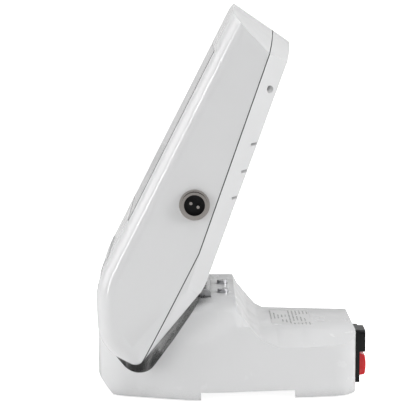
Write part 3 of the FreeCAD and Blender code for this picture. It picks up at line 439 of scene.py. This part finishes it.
def smooth_skin(name, limit):
    """A smooth copy of a CAD piece, which stands for it and rides on its body."""
    skin = bpy.data.meshes.new("skin_" + name)
    work = bmesh.new()
    work.from_mesh(nodes[name].data)
    bmesh.ops.remove_doubles(work, verts=work.verts, dist=MERGE_DISTANCE)
    bmesh.ops.dissolve_degenerate(work, edges=work.edges, dist=MERGE_DISTANCE)
    for face in work.faces:
        face.smooth = True
        face.material_index = 0
    for edge in work.edges:
        edge.smooth = len(edge.link_faces) == 2 and edge.calc_face_angle(0) <= limit
    work.to_mesh(skin)
    work.free()
    made = bpy.data.objects.new("skin_" + name, skin)
    bpy.context.scene.collection.objects.link(made)
    made.data.materials.append(FINISHES[name])
    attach(made, nodes[name]["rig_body"])
    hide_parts(name)
    return made


skins = [smooth_skin(name, BASE_SMOOTH_LIMIT if name == "base_shell" else SMOOTH_LIMIT)
         for name in sorted(FINISHES)]
print("smooth skins:", len(skins), "triangles:", sum(len(skin.data.polygons) for skin in skins))

# %% [markdown]
# The product stands on a plain pale floor in front of a plain wall, in a white studio.

# %% Studio
STUDIO_HALF_SIZE = 6.0
WALL_X = -3.0
STUDIO_COLOUR = (0.9, 0.9, 0.9, 1)
SKY_STRENGTH = 0.10


def studio_white(name, seen, mirrored):
    """A white surface that looks brighter to the camera, and in reflections, than it lights the product."""
    material, tree, link, shader = new_material(name)
    shader.inputs["Base Color"].default_value = STUDIO_COLOUR
    shader.inputs["Roughness"].default_value = 0.35
    shader.inputs["Emission Color"].default_value = (1, 1, 1, 1)
    path = add_node(tree, "ShaderNodeLightPath")
    glow = add_node(tree, "ShaderNodeMath", operation="MULTIPLY")
    glow.inputs[1].default_value = seen
    shine = add_node(tree, "ShaderNodeMath", operation="MULTIPLY_ADD")
    shine.inputs[1].default_value = mirrored
    link(path.outputs["Is Camera Ray"], glow.inputs[0])
    link(path.outputs["Is Glossy Ray"], shine.inputs[0])
    link(glow.outputs[0], shine.inputs[2])
    link(shine.outputs[0], shader.inputs["Emission Strength"])
    return material


def studio_plane(name, material, place=Matrix.Identity(4)):
    """A large square that isn't part of the object. It lies on the floor unless a place is given."""
    mesh = bpy.data.meshes.new(name)
    work = bmesh.new()
    bmesh.ops.create_grid(work, x_segments=1, y_segments=1, size=STUDIO_HALF_SIZE)
    bmesh.ops.transform(work, verts=work.verts, matrix=place)
    work.to_mesh(mesh)
    work.free()
    mesh.materials.append(material)
    plane = bpy.data.objects.new(name, mesh)
    bpy.context.scene.collection.objects.link(plane)


def softbox(name, place, target, wide, tall, power):
    """A rectangular lamp at a place, turned towards a target."""
    lamp = bpy.data.lights.new(name, "AREA")
    lamp.shape = "RECTANGLE"
    lamp.size = wide
    lamp.size_y = tall
    lamp.energy = power
    holder = bpy.data.objects.new(name, lamp)
    holder.location = place
    holder.rotation_euler = (Vector(target) - Vector(place)).to_track_quat("-Z", "Y").to_euler()
    bpy.context.scene.collection.objects.link(holder)


wall_place = Matrix.Translation((WALL_X, 0, 0)) @ Matrix.Rotation(math.radians(90), 4, "Y")
studio_plane("studio_floor", studio_white("floor_white", 0.9, 0.25))
softbox("key_softbox", (1.7, -0.3, 1.3), (0, 0, 0.15), 1.2, 1.2, 2.6)
softbox("top_softbox", (0.1, 0.1, 1.5), (0, 0, 0.1), 1.4, 1.4, 11)
softbox("rear_softbox", (0.6, 1.4, 0.7), (0, 0, 0.15), 0.8, 0.8, 13)
softbox("front_fill", (0.2, -1.6, 0.6), (0, 0, 0.15), 1.0, 1.0, 8)
softbox("front_strip", (0.9, -1.2, 0.5), (0, 0, 0.15), 0.10, 1.4, 7)
studio_plane("studio_backdrop", studio_white("backdrop_lit_white", 1.2, 0.35), wall_place)
world = bpy.data.worlds.new("studio_white")
world.use_nodes = True
sky = world.node_tree.nodes["Background"]
sky.inputs["Color"].default_value = (1, 1, 1, 1)
sky.inputs["Strength"].default_value = SKY_STRENGTH
bpy.context.scene.world = world
bpy.context.scene.view_settings.view_transform = "Standard"

# %% [markdown]
# The camera stands to the side of the console, a little above it, with a long lens.

# %% Camera
CAMERA_PLACE = (1.4975, -0.0306, 0.3313)
LENS_MM = 155.8
SENSOR_MM = 36
PITCH_DOWN = math.radians(7.06)
YAW = math.radians(0.41)

lens = bpy.data.cameras.new("side_camera")
lens.lens = LENS_MM
lens.sensor_width = SENSOR_MM
side_camera = bpy.data.objects.new("side_camera", lens)
side_camera.location = CAMERA_PLACE
level = math.cos(PITCH_DOWN)
look = Vector((-level * math.cos(YAW), level * math.sin(YAW), -math.sin(PITCH_DOWN)))
side_camera.rotation_euler = look.to_track_quat("-Z", "Y").to_euler()
bpy.context.scene.collection.objects.link(side_camera)
bpy.context.scene.camera = side_camera
print("camera looks along", tuple(round(part, 3) for part in look))
